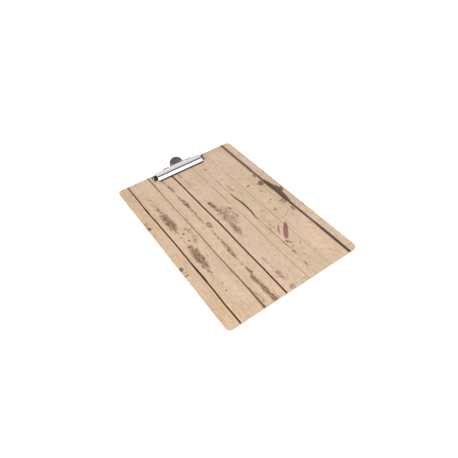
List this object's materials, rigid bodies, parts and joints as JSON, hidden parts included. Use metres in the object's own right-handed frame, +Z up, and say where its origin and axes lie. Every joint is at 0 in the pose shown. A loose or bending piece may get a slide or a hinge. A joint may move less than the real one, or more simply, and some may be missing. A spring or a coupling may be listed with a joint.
{
  "type": "clipboard",
  "caption": "Flat laminated writing board with rounded corners and a low sprung lever clip with a round thumb tab at one short edge.",
  "frame": {"origin": "centre of the board's underside", "axes": "+X across the board, +Y along it towards the clip, +Z up out of the writing face"},
  "size_m": [0.225, 0.3244, 0.0194],
  "materials": {
    "fibreboard": "sawn and sanded fibreboard edge, matt",
    "plank_print_sheet": "printed weathered-plank decor sheet, satin",
    "plain_back_sheet": "plain balancing sheet, matt",
    "plated_steel": "nickel plated, satin",
    "polished_plated_steel": "nickel plated, polished",
    "pin_steel": "drawn steel, lightly oiled",
    "spring_steel": "tempered spring wire",
    "rivet_steel": "zinc plated"
  },
  "bodies": {
    "board": {"board_core": "fibreboard", "face_sheet": "plank_print_sheet", "backing_sheet": "plain_back_sheet", "clip_base_plate": "plated_steel", "hinge_pin": "pin_steel", "spring_left": "spring_steel", "spring_right": "spring_steel", "rivet_left": "rivet_steel", "rivet_right": "rivet_steel", "washer_left": "rivet_steel", "washer_right": "rivet_steel"},
    "jaw": {"clip_jaw": "polished_plated_steel"}
  },
  "joints": [
    {"name": "jaw_hinge", "type": "hinge", "parent": "board", "child": "jaw", "pos_m": [0, 0.1507, 0.0071], "axis": [-1, 0, 0], "range_deg": [0, 22], "stiffness_Nm_per_rad": 0.25, "springref_deg": -34.38, "deforming": ["spring_left", "spring_right"]}
  ]
}
